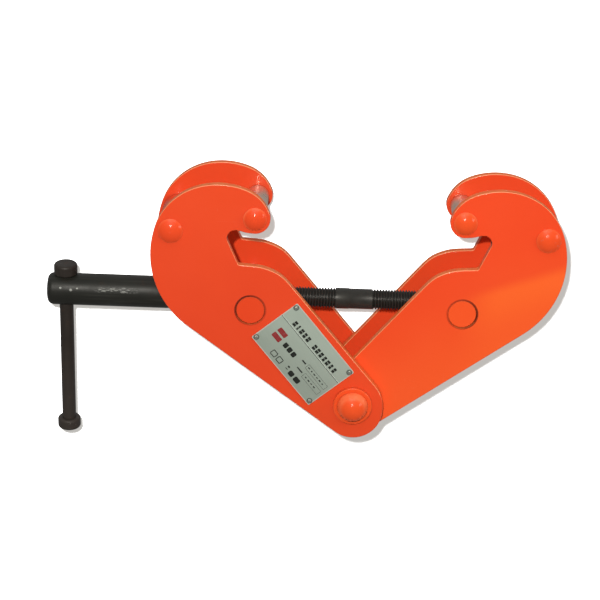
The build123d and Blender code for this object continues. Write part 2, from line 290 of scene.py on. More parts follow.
def hairline_scuffs(m):
    """Hairline handling scuffs, in patches."""
    level = m.streaks((40, 40, 1500), rough=0.6, distort=0.8)
    upright = m.streaks((1300, 40, 60), rough=0.6, distort=0.6)
    patch = m.rise(m.noise(18, detail=3, rough=0.6), over=(0.54, 0.70))
    lines = m.larger(m.rise(level, over=(0.70, 0.76)), m.rise(upright, over=(0.71, 0.77)))
    return m.mul(lines, patch)


def enamel_relief(m, side, peen, chips):
    """Waves of the metal, orange peel, dust, cut marks, peening and chips: (surface, coat)."""
    waves = m.bump(m.noise(16, rough=0.4), strength=0.10, depth=0.0040)
    peel = m.bump(m.noise(420), strength=0.16, depth=0.00022, under=waves)
    specks = m.fall(m.cells(95), over=(0.0, 0.055))
    relief = m.bump(specks, strength=0.35, depth=0.00010, under=peel)
    if side is not None:
        drag = m.streaks((620, 26, 620), detail=3, rough=0.6)
        relief = m.bump(drag, strength=m.mul(side, 0.75), depth=0.00035, under=relief)
    if peen:
        relief = m.bump(m.noise(240), strength=peen, depth=0.00050, under=relief)
        relief = m.bump(m.noise(90, detail=1, rough=0.4), strength=peen, depth=0.00070,
                        under=relief)
    relief = m.bump(chips, strength=0.8, depth=0.00012, under=relief)
    if peen:
        # the Y part is lengthened: paint pooled round a low dome
        relief = m.vector_math("MULTIPLY", relief, (1.0, 1.75, 1.0))
        relief = m.vector_math("NORMALIZE", relief)
    return relief, peel


def enamel(name, tones, plate=True, lit_right=False, nut=None, peen=0.0, coat=0.62):
    """Sprayed orange enamel over cut plate, or over fittings when plate is False."""
    m = Surface(name)
    base, warm = tones
    broad = m.noise(7)
    fine = m.noise(46, detail=4, rough=0.6)
    blend = m.add(m.mul(m.rise(broad, over=(0.30, 0.70)), 0.65), m.mul(fine, 0.35))
    colour = m.mix(blend, base, warm)
    # painted light: the right jaw lighter towards its lower end and in one band
    if lit_right:
        colour = paint_right_jaw_light(m, colour, broad)
    # fine pigment speckle
    speckle = m.rise(m.noise(900, rough=0.6), over=(0.62, 0.80), to=(0.0, 0.12))
    colour = m.mix(speckle, colour, tuple(0.72 * part for part in base))
    # painted shade in crevices and joints, broken up with dirt
    grime_and_shade = m.mul(m.fall(m.crevice(0.005), over=(0.25, 0.85)),
                  m.spread(m.noise(120, detail=3), to=(0.55, 1.0)))
    colour = m.tint(colour, grime_and_shade, share=0.55, tone=(0.16, 0.022, 0.010))
    # painted shade and shadow in the joint round a trunnion nut
    if nut is not None:
        colour = nut_joint_shadow(m, colour, **nut)

    # how squarely the surface faces front or back; side is 1 on the cut faces of a plate
    square = m.abs(m.split(m.facing)[1])
    if plate:
        edge = m.band(square, up=(0.12, 0.40), down=(0.80, 0.985))
        side = m.fall(square, over=(0.10, 0.45))
    else:
        edge = m.band(square, up=(0.02, 0.30), down=(0.55, 0.80))
        side = None
    # paint thins over the rounded edges and shows lighter there, partly a painted highlight along
    # them
    thin_paint_and_sheen = m.mul(edge, m.spread(m.noise(60, detail=3, rough=0.6), to=(0.10, 0.55)))
    colour = m.mix(thin_paint_and_sheen, colour, (0.98, 0.26, 0.11))
    if plate:
        # painted light and shade on the cut faces and their edges
        colour = cut_face_light_and_shade(m, colour, side)

    # a few small chips down to the steel, kept off the flat faces
    chip_grain = m.noise(330, detail=3, rough=0.55, distort=0.4)
    chip_region = m.rise(m.noise(24), over=(0.56, 0.70))
    chips = m.mul(m.mul(m.rise(chip_grain, over=(0.635, 0.665)), chip_region),
                  m.fall(square, over=(0.90, 0.99)))
    colour = m.tint(colour, chips, share=0.85 if plate else 0.25, tone=BARE_STEEL)
    scuffs = hairline_scuffs(m)
    colour = m.tint(colour, scuffs, share=0.28, tone=(0.95, 0.34, 0.22))

    def less_on_cuts(amount):
        return m.mul(m.sub(1.0, m.mul(side, 0.85)), amount)

    rough = m.spread(m.noise(30, detail=4, rough=0.6), to=(0.34, 0.46))
    rough = m.add(m.add(rough, m.mul(grime_and_shade, 0.22)), m.mul(m.add(scuffs, chips), 0.12))
    unspoiled = m.sub(1.0, m.mul(m.add(chips, grime_and_shade), 0.8))
    relief, coat_relief = enamel_relief(m, side, peen, chips)
    m.set(Base_Color=colour, Roughness=rough,
          Metallic=m.mul(chips, 0.8 if plate else 0.1),
          Specular_IOR_Level=less_on_cuts(0.30) if plate else 0.12,
          Coat_Weight=m.mul(less_on_cuts(coat) if plate else coat, unspoiled),
          Coat_Roughness=m.spread(m.noise(55, detail=3), to=(0.09, 0.19)),
          Coat_IOR=1.48, Normal=relief, Coat_Normal=coat_relief)
    return m.material


# -------------------------------------------------------------------- metals
def turned_steel(name):
    """Bare turned steel, warmed as a painted reflection of the orange plates and lightly toned by
    handling, with circular tool marks along Y.
    """
    m = Surface(name)
    tool = m.streaks((30, 2600, 30), detail=3, rough=0.6)
    bands = m.streaks((20, 260, 20))
    # painted reflection: the steel's colour is warmed by the orange plates round it
    colour = m.mix(bands, (0.74, 0.60, 0.48), (0.88, 0.76, 0.63))
    blotch = m.rise(m.noise(150, detail=4, rough=0.65), over=(0.50, 0.72))
    colour = m.tint(colour, blotch, share=0.35, tone=(0.36, 0.27, 0.19))
    rust = m.rise(m.noise(420, detail=3, rough=0.6), over=(0.66, 0.74))
    colour = m.tint(colour, rust, share=0.5, tone=(0.22, 0.10, 0.045))
    # painted shade in the gaps round the sleeve
    colour = m.paint_shade_in_gaps(colour, 0.004, over=(0.3, 0.85), share=0.7, tone=(0.10, 0.055, 0.035))
    relief = m.bump(tool, strength=0.35, depth=0.00006)
    relief = m.bump(m.noise(700), strength=0.15, depth=0.00006, under=relief)
    m.set(Base_Color=colour, Metallic=m.sub(0.92, m.mul(rust, 0.7)), Normal=relief,
          Roughness=m.add(m.spread(bands, to=(0.26, 0.40)), m.mul(blotch, 0.12)))
    return m.material


# small pale spots on the bar: X, angle round the bar from the front, radius
PALE_SPOTS = ((-0.2570, 0.36, 0.0012), (-0.2480, 0.26, 0.0016), (-0.2425, 0.36, 0.0010))
SPOT_STRETCH = 1.0          # scales distances along X within the spots


def bar_wear(m):
    """A rubbed band, and small pale spots, facing front and a little upwards."""
    angle = m.math("ARCTAN2", m.sub(m.z, AXIS_Z), m.mul(m.y, -1.0))
    from_middle = m.abs(m.sub(angle, 0.33))
    along = m.band(m.x, up=(-0.231, -0.216), down=(-0.203, -0.186))
    area_worn = m.mul(along, m.fall(from_middle, over=(0.03, 0.24)))
    grain = m.streaks((240, 900, 900), detail=3, rough=0.7)
    worn = m.mul(area_worn, m.rise(grain, over=(0.50, 0.62)))
    for spot_x, spot_angle, radius in PALE_SPOTS:
        distance = m.length(m.mul(m.sub(m.x, spot_x), SPOT_STRETCH),
                            m.mul(m.sub(angle, spot_angle), SHANK_RADIUS))
        ragged = m.add(distance, m.mul(m.sub(grain, 0.5), 0.0014))
        worn = m.larger(worn, m.fall(ragged, over=(radius * 0.4, radius)))
    return worn


def black_bar(name):
    """Blackened, oiled round bar along X, with a rubbed band where it has been handled and small
    pale spots.
    """
    m = Surface(name)
    broad = m.noise(26, detail=3, rough=0.55)
    colour = m.mix(broad, (0.0120, 0.0122, 0.0098), (0.0225, 0.0226, 0.0185))
    streak = m.streaks((16, 420, 420), detail=3, rough=0.6)
    colour = m.mix(m.rise(streak, over=(0.52, 0.74), to=(0.0, 0.45)), colour,
                   (0.052, 0.052, 0.044))
    rust = m.rise(m.noise(75, detail=5, rough=0.65), over=(0.60, 0.75))
    colour = m.tint(colour, rust, share=0.35, tone=(0.050, 0.026, 0.014))
    worn = bar_wear(m)
    colour = m.tint(colour, worn, share=0.80, tone=(0.42, 0.43, 0.40))
    # rubbed rim at the free end
    rim = m.mul(m.fall(m.x, over=(-0.2690, -0.2655)),
                m.rise(m.noise(260, detail=3), over=(0.42, 0.66)))
    colour = m.tint(colour, rim, share=0.35, tone=(0.12, 0.12, 0.105))
    rough = m.spread(m.noise(48, detail=4, rough=0.6), to=(0.36, 0.52))
    relief = m.bump(m.streaks((60, 700, 700), detail=3, rough=0.6), strength=0.22, depth=0.00012)
    relief = m.bump(m.noise(340, detail=3, rough=0.6), strength=0.25, depth=0.00012, under=relief)
    m.set(Base_Color=colour, Roughness=m.add(rough, m.mul(worn, 0.10)),
          Specular_IOR_Level=0.45, Metallic=m.mul(worn, 0.6), Normal=relief)
    return m.material


def thread_steel(name):
    """Blackened screw thread: rubbed crests, darker in the roots."""
    m = Surface(name)
    up = m.sub(m.z, AXIS_Z)
    radius = m.length(m.y, up)
    crest = m.rise(radius, over=(0.00865, 0.00892))
    root = m.fall(radius, over=(0.00760, 0.00830))
    broad = m.noise(40, detail=3, rough=0.6)
    colour = m.mix(broad, (0.0150, 0.0142, 0.0120), (0.0300, 0.0285, 0.0240))
    rubbed = m.mul(crest, m.linear(m.noise(150, detail=4, rough=0.6),
                                   over=(0.35, 0.65), to=(0.10, 0.75)))
    colour = m.tint(colour, rubbed, share=0.55, tone=(0.095, 0.092, 0.082))
    colour = m.tint(colour, root, share=0.7, tone=(0.0085, 0.0070, 0.0055))
    rust = m.rise(m.noise(180, detail=4, rough=0.6), over=(0.60, 0.72))
    colour = m.tint(colour, rust, share=0.30, tone=(0.050, 0.024, 0.012))
    relief = m.bump(m.streaks((1400, 160, 160), detail=3, rough=0.6),
                    strength=0.18, depth=0.00008)
    relief = m.bump(m.noise(500), strength=0.2, depth=0.00008, under=relief)
    m.set(Base_Color=colour, Metallic=m.mul(rubbed, 0.5), Specular_IOR_Level=0.55,
          Roughness=m.spread(m.noise(90, detail=3, rough=0.6), to=(0.30, 0.46)), Normal=relief)
    return m.material


def handle_steel(name):
    """Brown-black forged handle: scale, faint draw lines along Z, knocks at the ends."""
    m = Surface(name)
    broad = m.noise(34, detail=4, rough=0.6)
    colour = m.mix(broad, (0.0165, 0.0125, 0.0100), (0.0330, 0.0260, 0.0210))
    draw = m.streaks((520, 520, 22), detail=3, rough=0.6)
    colour = m.mix(m.rise(draw, over=(0.54, 0.76), to=(0.0, 0.40)), colour,
                   (0.062, 0.052, 0.043))
    rust = m.rise(m.noise(120, detail=5, rough=0.65), over=(0.56, 0.72))
    colour = m.tint(colour, rust, share=0.40, tone=(0.070, 0.034, 0.018))
    # the bar is paler towards its lower end
    colour = m.mix(m.rise(m.z, over=(0.050, -0.035), to=(0.0, 0.55)), colour,
                   (0.058, 0.046, 0.038))
    knocks = m.rise(m.noise(430, detail=3, rough=0.6), over=(0.66, 0.72))
    ends = m.larger(m.rise(m.z, over=(-0.036, -0.045)), m.rise(m.z, over=(0.098, 0.102)))
    colour = m.tint(colour, m.mul(knocks, ends), share=0.55, tone=(0.22, 0.20, 0.175))
    # painted shade in the gaps round the handle
    colour = m.paint_shade_in_gaps(colour, 0.003, over=(0.3, 0.8), share=0.6, tone=(0.006, 0.005, 0.004))
    relief = m.bump(m.noise(140, detail=3, rough=0.55), strength=0.30, depth=0.00035)
    relief = m.bump(m.noise(520, detail=3, rough=0.6), strength=0.30, depth=0.00012, under=relief)
    relief = m.bump(draw, strength=0.15, depth=0.00010, under=relief)
    m.set(Base_Color=colour, Specular_IOR_Level=0.5, Normal=relief,
          Roughness=m.spread(m.noise(70, detail=4, rough=0.6), to=(0.40, 0.58)))
    return m.material


def brushed_plate(name):
    """Satin aluminium, brushed along its length, toned grey-green, brighter on its cut rim."""
    m = Surface(name)
    across, up = m.sub(m.x, PLATE_CENTRE.x), m.sub(m.z, PLATE_CENTRE.z)
    u = m.add(m.mul(across, PLATE_LONG.x), m.mul(up, PLATE_LONG.z))
    v = m.add(m.mul(across, PLATE_SHORT.x), m.mul(up, PLATE_SHORT.z))
    brush = m.plate_noise(u, v, (45, 5200), layer=0.0, detail=3, rough=0.65)
    cloud = m.plate_noise(u, v, (38, 38), layer=0.3, detail=3)
    colour = m.mix(cloud, (0.450, 0.545, 0.455), (0.560, 0.665, 0.560))
    # painted shade: darker towards the low-v side, along a slanting line
    shade = m.fall(m.add(v, m.mul(u, -0.25)), over=(-0.026, 0.018), top=0.62)
    colour = m.mix(shade, colour, (0.300, 0.360, 0.298))
    colour = m.mix(m.spread(brush, to=(0.0, 0.35)), colour, (0.60, 0.64, 0.58))
    lines = m.plate_noise(u, v, (900, 60), layer=2.0, rough=0.6, distort=1.2)
    colour = m.tint(colour, m.rise(lines, over=(0.70, 0.76)), share=0.35,
                    tone=(0.70, 0.72, 0.68))
    rim = m.larger(m.rise(m.abs(u), over=(0.0390, 0.0396)), m.rise(m.abs(v), over=(0.0240, 0.0246)))
    colour = m.tint(colour, rim, share=0.75, tone=(0.80, 0.80, 0.70))
    # darker round the four rivets
    from_rivet = m.length(m.sub(m.abs(u), 0.0373), m.sub(m.abs(v), 0.0217))
    colour = m.tint(colour, m.fall(from_rivet, over=(0.0021, 0.0030)), share=0.8,
                    tone=(0.045, 0.052, 0.045))
    m.set(Base_Color=colour, Metallic=0.45, Roughness=m.spread(brush, to=(0.36, 0.50)),
          Normal=m.bump(brush, strength=0.25, depth=0.00003))
    return m.material


def print_ink(name, ink, worn):
    """Etched and filled marking on the rating plate, slightly patchy."""
    m = Surface(name)
    patch = m.rise(m.noise(520, detail=3, rough=0.65), over=(0.52, 0.74))
    m.set(Base_Color=m.tint(ink, patch, share=0.30, tone=worn),
          Roughness=m.spread(m.noise(300), to=(0.45, 0.60)),
          Normal=m.bump(m.noise(900), strength=0.2, depth=0.00003))
    return m.material


def rivet_steel(name):
    """Plated drive rivets, darkened at the rim by painted shade."""
    m = Surface(name)
    colour = m.mix(m.noise(600, detail=3), (0.33, 0.37, 0.33), (0.52, 0.56, 0.50))
    # painted shade in the gap round the rim
    colour = m.paint_shade_in_gaps(colour, 0.0012, over=(0.45, 0.95), share=0.85,
                           tone=(0.030, 0.036, 0.030))
    m.set(Base_Color=colour, Metallic=0.75, Roughness=m.spread(m.noise(900), to=(0.30, 0.45)),
          Normal=m.bump(m.noise(1400), strength=0.3, depth=0.00005))
    return m.material


def zinc_plate(name):
    """Zinc-plated steel: cool grey, faint spangle, dull white bloom."""
    m = Surface(name)
    colour = m.mix(m.noise(130, detail=3), (0.44, 0.45, 0.45), (0.62, 0.63, 0.62))
    bloom = m.rise(m.noise(210, detail=5, rough=0.65), over=(0.58, 0.72))
    colour = m.tint(colour, bloom, share=0.45, tone=(0.74, 0.75, 0.76))
    # painted shade in the gaps
    colour = m.paint_shade_in_gaps(colour, 0.003, over=(0.3, 0.85), share=0.6, tone=(0.06, 0.06, 0.055))
    spangle = m.linear(m.cells(420), over=(0.0, 0.8), to=(0.24, 0.38))
    m.set(Base_Color=colour, Metallic=m.sub(0.95, m.mul(bloom, 0.4)),
          Roughness=m.add(spangle, m.mul(bloom, 0.2)),
          Normal=m.bump(m.noise(800), strength=0.2, depth=0.00005))
    return m.material


# ------------------------------------------------------------------ finishes
# the side on which the painted shadow in each nut's joint is heaviest
LEFT_NUT = {"centre_x": -NUT_X, "shadow_x": -0.7, "shadow_z": 0.7}
RIGHT_NUT = {"centre_x": NUT_X, "shadow_x": 0.9, "shadow_z": 0.2}

# each pair of tones: base, warm; the right-hand tones are lighter copies of the same orange,
# standing for painted light, and the rear tones a darker copy, standing for painted shade
LEFT_TONES = ((0.770, 0.057, 0.0135), (0.830, 0.071, 0.0160))
RIGHT_LIT_TONES = ((0.850, 0.060, 0.0120), (0.900, 0.074, 0.0150))
REAR_SHADED_TONES = ((0.740, 0.058, 0.0150), (0.800, 0.072, 0.0180))
LEFT_FITTING_TONES = ((0.770, 0.060, 0.0150), (0.830, 0.076, 0.0180))
RIGHT_FITTING_LIT_TONES = ((0.820, 0.072, 0.0150), (0.880, 0.092, 0.0190))
RIGHT_NUT_LIT_TONES = ((0.900, 0.086, 0.0170), (0.950, 0.104, 0.0200))

LEFT = enamel("orange_enamel_left", LEFT_TONES, nut=LEFT_NUT)
RIGHT = enamel("orange_enamel_right_lit", RIGHT_LIT_TONES, lit_right=True, nut=RIGHT_NUT)
REAR = enamel("orange_enamel_rear_shaded", REAR_SHADED_TONES)
LEFT_FITTING = enamel("orange_enamel_fittings_left", LEFT_FITTING_TONES,
                      plate=False, peen=0.12, coat=0.42)
RIGHT_FITTING = enamel("orange_enamel_fittings_right_lit", RIGHT_FITTING_LIT_TONES,
                       plate=False, peen=0.12, coat=0.45)
LEFT_NUT_PAINT = enamel("orange_enamel_nut_left", LEFT_TONES, plate=False, nut=LEFT_NUT)
RIGHT_NUT_PAINT = enamel("orange_enamel_nut_right_lit", RIGHT_NUT_LIT_TONES, plate=False, nut=RIGHT_NUT)
SLEEVE = turned_steel("turned_steel")
SHANK = black_bar("blackened_bar")
THREAD = thread_steel("blackened_thread")
HANDLE = handle_steel("forged_handle")
PLATE = brushed_plate("brushed_aluminium")
RIVET = rivet_steel("plated_rivet")
ZINC = zinc_plate("zinc_plate")
INK = print_ink("plate_print_black", ink=(0.010, 0.013, 0.010), worn=(0.060, 0.068, 0.058))
INK_RED = print_ink("plate_print_red", ink=(0.250, 0.022, 0.024), worn=(0.36, 0.20, 0.18))
INK_LIGHT = print_ink("plate_print_light", ink=(0.66, 0.71, 0.64), worn=(0.50, 0.54, 0.48))

FINISH = {
    "left_front_plate": LEFT, "left_rear_plate": REAR,
    "right_front_plate": RIGHT, "right_rear_plate": REAR,
    "left_tip_rivet": LEFT_FITTING, "left_back_rivet": LEFT_FITTING,
    "left_back_spacer": LEFT_FITTING,
    "right_tip_rivet": RIGHT_FITTING, "right_back_rivet": RIGHT_FITTING,
    "right_back_spacer": RIGHT_FITTING,
    "load_bar": RIGHT_FITTING, "load_bar_washers": RIGHT_FITTING,
    "left_nut": LEFT_NUT_PAINT, "right_nut": RIGHT_NUT_PAINT,
    "left_tip_sleeve": SLEEVE, "right_tip_sleeve": SLEEVE,
    "spindle": THREAD, "spindle_shank": SHANK,
    "spindle_stop_washer": ZINC, "spindle_stop_pin": ZINC,
    "tommy_bar": HANDLE, "upper_knob": HANDLE, "lower_knob": HANDLE,
    "rating_plate": PLATE, "rating_plate_rivets": RIVET,
}
for name, material in FINISH.items():
    slots = pieces[name].data.materials
    for i in range(len(slots)):
        slots[i] = material
    if not slots:
        slots.append(material)


# ------------------------------------------------------------- spindle, in mm
SEGMENTS = 56               # divisions round the spindle
SHARP_ANGLE = math.radians(38)
PITCH = 2.5
THREAD_END_RADIUS = 7.62
LEFT_THREAD = (-105.0, -17.9)
RIGHT_THREAD = (14.5, 107.1)
TAIL_RADIUS = 7.50
STOP_PIN_X, STOP_PIN_RADIUS = 114.4, 2.5
# one pitch of the thread: distance along the axis, radius
THREAD_PROFILE = ((0.0, 7.60), (0.24, 7.65), (0.95, 8.86), (1.10, 8.98),
                  (1.40, 8.98), (1.55, 8.86), (2.26, 7.65))
# turned outlines: X, radius
SPIGOT = [(-153.9, 7.2), (-153.1, 8.0), (LEFT_THREAD[0], 8.0),
          (LEFT_THREAD[0], THREAD_END_RADIUS)]
MIDDLE = [(LEFT_THREAD[1], THREAD_END_RADIUS), (LEFT_THREAD[1], 8.75), (-17.5, 9.12),
          (-6.6, 9.12), (-6.2, 8.86), (14.2, 8.86), (RIGHT_THREAD[0], 8.6),
          (RIGHT_THREAD[0], THREAD_END_RADIUS)]
END_STEP = [(RIGHT_THREAD[1], THREAD_END_RADIUS), (RIGHT_THREAD[1], TAIL_RADIUS)]
TAIL = [(RIGHT_THREAD[1], TAIL_RADIUS), (117.0, TAIL_RADIUS), (117.7, 7.05), (118.0, 6.5)]


def make_object(name, bm, material, smooth=False):
    bmesh.ops.recalc_face_normals(bm, faces=bm.faces[:])
    mesh = bpy.data.meshes.new(name)
    bm.to_mesh(mesh)
    bm.free()
    mesh.materials.append(material)
    if smooth:
        mesh.polygons.foreach_set("use_smooth", [True] * len(mesh.polygons))
        mesh.set_sharp_from_angle(angle=SHARP_ANGLE)
    made = bpy.data.objects.new(name, mesh)
    scene.collection.objects.link(made)
    return made


def axis_vert(bm, x, radius, j):
    """A point at division j round the spindle's axis."""
    angle = 2 * math.pi * j / SEGMENTS
    return bm.verts.new((x * MM, radius * MM * math.cos(angle),
                         AXIS_Z + radius * MM * math.sin(angle)))


def add_thread(bm, start, end, hand):
    """A helical thread along X. hand 1 is right-handed, -1 left-handed."""
    per_pitch = len(THREAD_PROFILE)
    rows = (int(math.ceil((end - start) / PITCH)) + 3) * per_pitch
    columns = []
    for j in range(SEGMENTS):
        turn = j / SEGMENTS if hand > 0 or j == 0 else 1.0 - j / SEGMENTS
        column = []
        for k in range(rows):
            along, radius = THREAD_PROFILE[k % per_pitch]
            x = start - PITCH + PITCH * (k // per_pitch) + along + PITCH * turn
            if x <= start + 1e-6:
                x, radius = start, THREAD_END_RADIUS
            elif x >= end - 1e-6:
                x, radius = end, THREAD_END_RADIUS
            column.append(axis_vert(bm, x, radius, j))
        columns.append(column)
    for j in range(SEGMENTS):
        a, b = columns[j], columns[(j + 1) % SEGMENTS]
        # the helix moves on by one pitch at the seam
        shift_a = per_pitch if hand < 0 and j == 0 else 0
        shift_b = per_pitch if hand > 0 and j == SEGMENTS - 1 else 0
        for k in range(rows - 1 - max(shift_a, shift_b)):
            ka, kb = k + shift_a, k + shift_b
            bm.faces.new((a[ka], b[kb], b[kb + 1], a[ka + 1]))


def lathe(bm, outline, close_left=True, close_right=True):
    rings = [[axis_vert(bm, x, radius, j) for j in range(SEGMENTS)] for x, radius in outline]
    for p, q in zip(rings, rings[1:]):
        for j in range(SEGMENTS):
            after = (j + 1) % SEGMENTS
            bm.faces.new((p[j], p[after], q[after], q[j]))
    if close_left:
        bm.faces.new(rings[0])
    if close_right:
        bm.faces.new(list(reversed(rings[-1])))


def merge_seams(bm):
    bmesh.ops.remove_doubles(bm, verts=bm.verts[:], dist=2e-6)
    bmesh.ops.dissolve_degenerate(bm, edges=bm.edges[:], dist=1e-7)
    loose = [v for v in bm.verts if not v.link_faces]
    if loose:
        bmesh.ops.delete(bm, geom=loose, context="VERTS")


def build_spindle():
    """One closed skin: spigot, left-hand thread, plain middle, right-hand thread."""
    bm = bmesh.new()
    lathe(bm, SPIGOT, close_right=False)
    add_thread(bm, *LEFT_THREAD, hand=-1)
    lathe(bm, MIDDLE, close_left=False, close_right=False)
    add_thread(bm, *RIGHT_THREAD, hand=1)
    lathe(bm, END_STEP, close_left=False)
    merge_seams(bm)
    spindle = make_object("spindle_thread", bm, THREAD, smooth=True)
    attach(spindle, "spindle")
    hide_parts("spindle")


def build_tail():
    """Plain tail of the spindle, cross-drilled for the stop pin."""
    bm = bmesh.new()
    lathe(bm, TAIL)
    tail = make_object("spindle_tail", bm, THREAD, smooth=True)
    bm = bmesh.new()
    bmesh.ops.create_cone(bm, cap_ends=True, segments=40, depth=0.030,
                          radius1=STOP_PIN_RADIUS * MM, radius2=STOP_PIN_RADIUS * MM,
                          matrix=Matrix.Translation((STOP_PIN_X * MM, 0.0, AXIS_Z)))
    drill = make_object("drill", bm, THREAD)
    cut = tail.modifiers.new("cross_hole", "BOOLEAN")
    cut.operation = "DIFFERENCE"
    cut.solver = "EXACT"
    cut.object = drill
    depsgraph = bpy.context.evaluated_depsgraph_get()
    cut_mesh = bpy.data.meshes.new_from_object(tail.evaluated_get(depsgraph))
    tail.modifiers.clear()
    tail.data = cut_mesh
    cut_mesh.set_sharp_from_angle(angle=SHARP_ANGLE)
    bpy.data.objects.remove(drill)
    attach(tail, "spindle")


build_spindle()
build_tail()

# ------------------------------------------------------- plate markings, in mm
# thin filled shapes, no lettering; u runs along the plate and v across it, from its centre
plate_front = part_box("rating_plate")[0].y
MARK_SINK, MARK_HEIGHT = 0.02, 0.06      # below and above the plate's front
# the upper row, each a pair of stacked bars; 0 leaves a space
PAIR_WIDTHS = (2.9, 1.3, 2.9, 2.6, 2.9, 0.0, 3.0, 2.9, 2.7, 2.2, 3.0, 2.0, 2.4)
PAIR_START, PAIR_STEP, PAIR_V = -26.4, 4.53, 12.3
# single bars: u, v, width, height, corner radius
LONG_LINE = (0, 8.0, 79.0, 0.42, 0.05)
LIGHT_LINE = (0, 8.52, 79.0, 0.30, 0.05)
LOWER_BARS = ((7.6, -18.9, 5.4, 4.6, 1.1), (15.2, -18.9, 6.4, 4.6, 1.1),
              (1.4, -16.4, 2.2, 1.5, 0.4), (1.4, -19.0, 2.6, 0.7, 0.2),
              (6.0, -3.4, 4.8, 1.3, 0.3), (9.4, -10.8, 7.0, 1.1, 0.3))
RED_BARS = ((-26.6, -1.4, 9.6, 4.6, 0.7), (-26.6, -7.8, 9.6, 4.6, 0.7))
# outlined boxes: low u, low v, high u, high v, line width
SMALL_BOXES = ((-18.8, -21.2, -13.4, -16.6, 0.75), (-11.2, -21.2, -6.0, -16.6, 0.75))
LONG_BOXES = ((10.5, -5.9, 36.4, -1.2, 0.22), (15.0, -13.4, 36.4, -8.6, 0.22))


def add_mark(bm, loop):
    """A flat closed shape on the plate from a loop of (u, v)."""
    low, top = [], []
    for u, v in loop:
        p = PLATE_CENTRE + PLATE_LONG * (u * MM) + PLATE_SHORT * (v * MM)
        low.append(bm.verts.new((p.x, plate_front + MARK_SINK * MM, p.z)))
        top.append(bm.verts.new((p.x, plate_front - MARK_HEIGHT * MM, p.z)))
    bm.faces.new(low)
    bm.faces.new(list(reversed(top)))
    for i in range(len(loop)):
        after = (i + 1) % len(loop)
        bm.faces.new((low[i], top[i], top[after], low[after]))


def add_bar(bm, u, v, width, height, corner):
    """A rounded bar centred on (u, v)."""
    corner = min(corner, width / 2.01, height / 2.01)
    loop = []
    for side_u, side_v, start in ((1, 1, 0), (-1, 1, 90), (-1, -1, 180), (1, -1, 270)):
        for i in range(4):
            angle = math.radians(start + 30 * i)
            x = side_u * (width / 2 - corner) + corner * math.cos(angle)
            y = side_v * (height / 2 - corner) + corner * math.sin(angle)
            loop.append((u + x, v + y))
    add_mark(bm, loop)


def add_box(bm, u0, v0, u1, v1, line):
    for v in (v1, v0):
        add_bar(bm, (u0 + u1) / 2, v, u1 - u0, line, 0.05)
    for u in (u0, u1):
        add_bar(bm, u, (v0 + v1) / 2, line, v1 - v0 - line * 1.05, 0.05)


def add_row(bm, widths, u, v, step, height, corner):
    for i, width in enumerate(widths):
        add_bar(bm, u + i * step, v, width, height, corner)


def finish_marks(name, bm, ink):
    marks = make_object(name, bm, ink)
    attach(marks, "left_jaw")
    return marks


def black_marks():
    bm = bmesh.new()
    add_bar(bm, *LONG_LINE)
    for i, width in enumerate(PAIR_WIDTHS):
        if width:
            u = PAIR_START + i * PAIR_STEP
            add_bar(bm, u, PAIR_V + 1.30, width + 0.3, 2.15, 0.25)
            add_bar(bm, u, PAIR_V - 1.30, width + 0.3, 2.35, 0.25)
    add_row(bm, (4.2, 4.4, 4.2), u=-15.8, v=-6.4, step=5.35, height=4.7, corner=0.9)
    for box in SMALL_BOXES:
        add_box(bm, *box)
    for bar in LOWER_BARS:
        add_bar(bm, *bar)
    for box in LONG_BOXES:
        add_box(bm, *box)
    add_row(bm, (2.2, 1.6, 2.4, 1.8, 2.2, 1.4), u=13.2, v=-3.5, step=3.7, height=1.0, corner=0.2)
    add_row(bm, (1.8, 2.4, 1.6, 2.2), u=18.2, v=-11.0, step=3.8, height=1.0, corner=0.2)
    return finish_marks("rating_plate_marks", bm, INK)


def bar_marks(name, bars, ink):
    bm = bmesh.new()
    for bar in bars:
        add_bar(bm, *bar)
    return finish_marks(name, bm, ink)


for marks in (black_marks(), bar_marks("rating_plate_index_mark", RED_BARS, INK_RED),
              bar_marks("rating_plate_rule", [LIGHT_LINE], INK_LIGHT)):
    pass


# --------------------------------------------------------------------- stage
def studio_paper(name):
    """White studio paper, seen from its front only."""
    material = bpy.data.materials.new(name)
    tree = blank_tree(material)
    clear = new_node(tree, "ShaderNodeBsdfTransparent")
    glow = new_node(tree, "ShaderNodeEmission",
                    {"Color": (1.0, 0.975, 0.925), "Strength": 0.50})
    matt = new_node(tree, "ShaderNodeBsdfDiffuse", {"Color": (0.15, 0.15, 0.15)})
    front = new_node(tree, "ShaderNodeAddShader", [glow.outputs[0], matt.outputs[0]])
    behind = new_node(tree, "ShaderNodeNewGeometry").outputs["Backfacing"]
    pick = new_node(tree, "ShaderNodeMixShader", [behind, front.outputs[0], clear.outputs[0]])
    new_node(tree, "ShaderNodeOutputMaterial", [pick.outputs[0]])
    return material


def sheet(name, corners, material):
    """A flat sheet seen by the camera alone, that neither lights nor shades the product."""
    mesh = bpy.data.meshes.new(name)
    mesh.from_pydata(corners, [], [(0, 1, 2, 3)])
    made = bpy.data.objects.new(name, mesh)
    scene.collection.objects.link(made)
    made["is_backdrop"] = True
    for ray in ("diffuse", "glossy", "transmission", "volume_scatter", "shadow"):
        setattr(made, "visible_" + ray, False)
    mesh.materials.append(material)
    return made


PAPER = studio_paper("studio_paper")
far = STAGE_REACH
wall = sheet("backdrop", [(-far, WALL_Y, FLOOR_Z), (far, WALL_Y, FLOOR_Z),
                          (far, WALL_Y, far), (-far, WALL_Y, far)], PAPER)
floor = sheet("floor", [(-far, -far, FLOOR_Z), (far, -far, FLOOR_Z),
                        (far, far, FLOOR_Z), (-far, far, FLOOR_Z)], PAPER)

